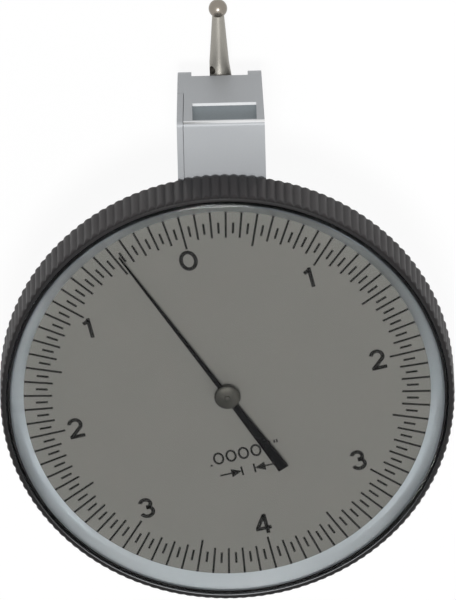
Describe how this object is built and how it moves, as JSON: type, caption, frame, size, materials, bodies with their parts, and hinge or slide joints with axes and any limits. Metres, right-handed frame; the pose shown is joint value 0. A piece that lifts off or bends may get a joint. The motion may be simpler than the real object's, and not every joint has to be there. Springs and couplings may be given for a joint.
{
  "type": "dial test indicator",
  "caption": "Dial test indicator: flat bar body with a swivelling ball stylus at its nose and a round dial in a knurled turning bezel on its face.",
  "frame": {"origin": "on the dial axis, at the back face of the body, which is the head of its back dovetail rail", "axes": "+Z out of the dial, +Y along the body towards the stylus, +X to the right of the dial"},
  "size_m": [0.038, 0.0493, 0.0182],
  "materials": {
    "satin_chrome": "satin chrome plate on steel",
    "dark_bezel": "dark satin coating on a knurled ring",
    "dial_grey": "matt grey enamel",
    "white_ring": "bright satin white",
    "clear_crystal": "clear polished acrylic",
    "black_hand": "black lacquer",
    "hub_grey": "darkened steel, turned",
    "brass": "fine ground",
    "steel": "polished hardened steel",
    "spring_steel": "blued spring steel",
    "ruby": "polished synthetic ruby",
    "carbide": "polished hard metal"
  },
  "bodies": {
    "case": {"housing": "satin_chrome", "side_cover": "satin_chrome", "cover_screws": "steel", "movement_plate": "brass", "train_jewels": "ruby", "pivot_screws": "satin_chrome", "bearing_cock": "brass", "cock_screws": "steel", "lower_jewel": "ruby", "upper_jewel": "ruby", "case_cup": "satin_chrome", "cup_screws": "steel", "upper_bridge": "brass", "bridge_screws": "steel", "bezel_spring": "spring_steel", "hairspring_stud": "brass"},
    "bezel": {"bezel_ring": "dark_bezel", "dial_face": "dial_grey", "light_ring": "white_ring", "crystal": "clear_crystal"},
    "pointer": {"pointer_arbor": "steel", "pointer_pinion": "steel", "hairspring_collet": "brass", "hairspring": "spring_steel", "hand": "black_hand", "hand_hub": "hub_grey"},
    "crown": {"crown_arbor": "steel", "crown_wheel": "brass", "crown_pinion": "steel"},
    "sector": {"sector_arbor": "steel", "sector_gear": "brass", "sector_rocker": "steel"},
    "lever": {"measuring_lever": "steel", "reversing_pins": "steel", "hub_pin": "steel", "friction_washers": "spring_steel"},
    "stylus": {"stylus_hub": "steel", "stylus_shank": "steel", "stylus_ball": "carbide"}
  },
  "joints": [
    {"name": "bezel_turn", "type": "hinge", "parent": "case", "child": "bezel", "pos_m": [0, 0, 0.0161], "axis": [0, 0, 1], "continuous": true},
    {"name": "pointer_spin", "type": "hinge", "parent": "case", "child": "pointer", "pos_m": [0, 0, 0.0164], "axis": [0, 0, 1], "range_deg": [-390, 0], "stiffness_Nm_per_rad": 0.0000004, "springref_deg": 114.59, "deforming": ["hairspring"]},
    {"name": "crown_spin", "type": "hinge", "parent": "case", "child": "crown", "pos_m": [0, 0, 0.00675], "axis": [1, 0, 0], "range_deg": [0, 66.3]},
    {"name": "sector_swing", "type": "hinge", "parent": "case", "child": "sector", "pos_m": [0, 0.00893, 0.0056], "axis": [1, 0, 0], "range_deg": [-4.74, 0]},
    {"name": "lever_swing", "type": "hinge", "parent": "case", "child": "lever", "pos_m": [0, 0.0204, 0.0028], "axis": [1, 0, 0], "range_deg": [0, 1.41]},
    {"name": "stylus_swivel", "type": "hinge", "parent": "lever", "child": "stylus", "pos_m": [0, 0.0204, 0.0028], "axis": [1, 0, 0], "range_deg": [-110, 0]}
  ],
  "couplings": [
    {"joint": "crown_spin", "follows": "pointer_spin", "ratio": -0.16667},
    {"joint": "sector_swing", "follows": "pointer_spin", "ratio": 0.011905},
    {"joint": "lever_swing", "follows": "pointer_spin", "ratio": -0.0035461}
  ]
}
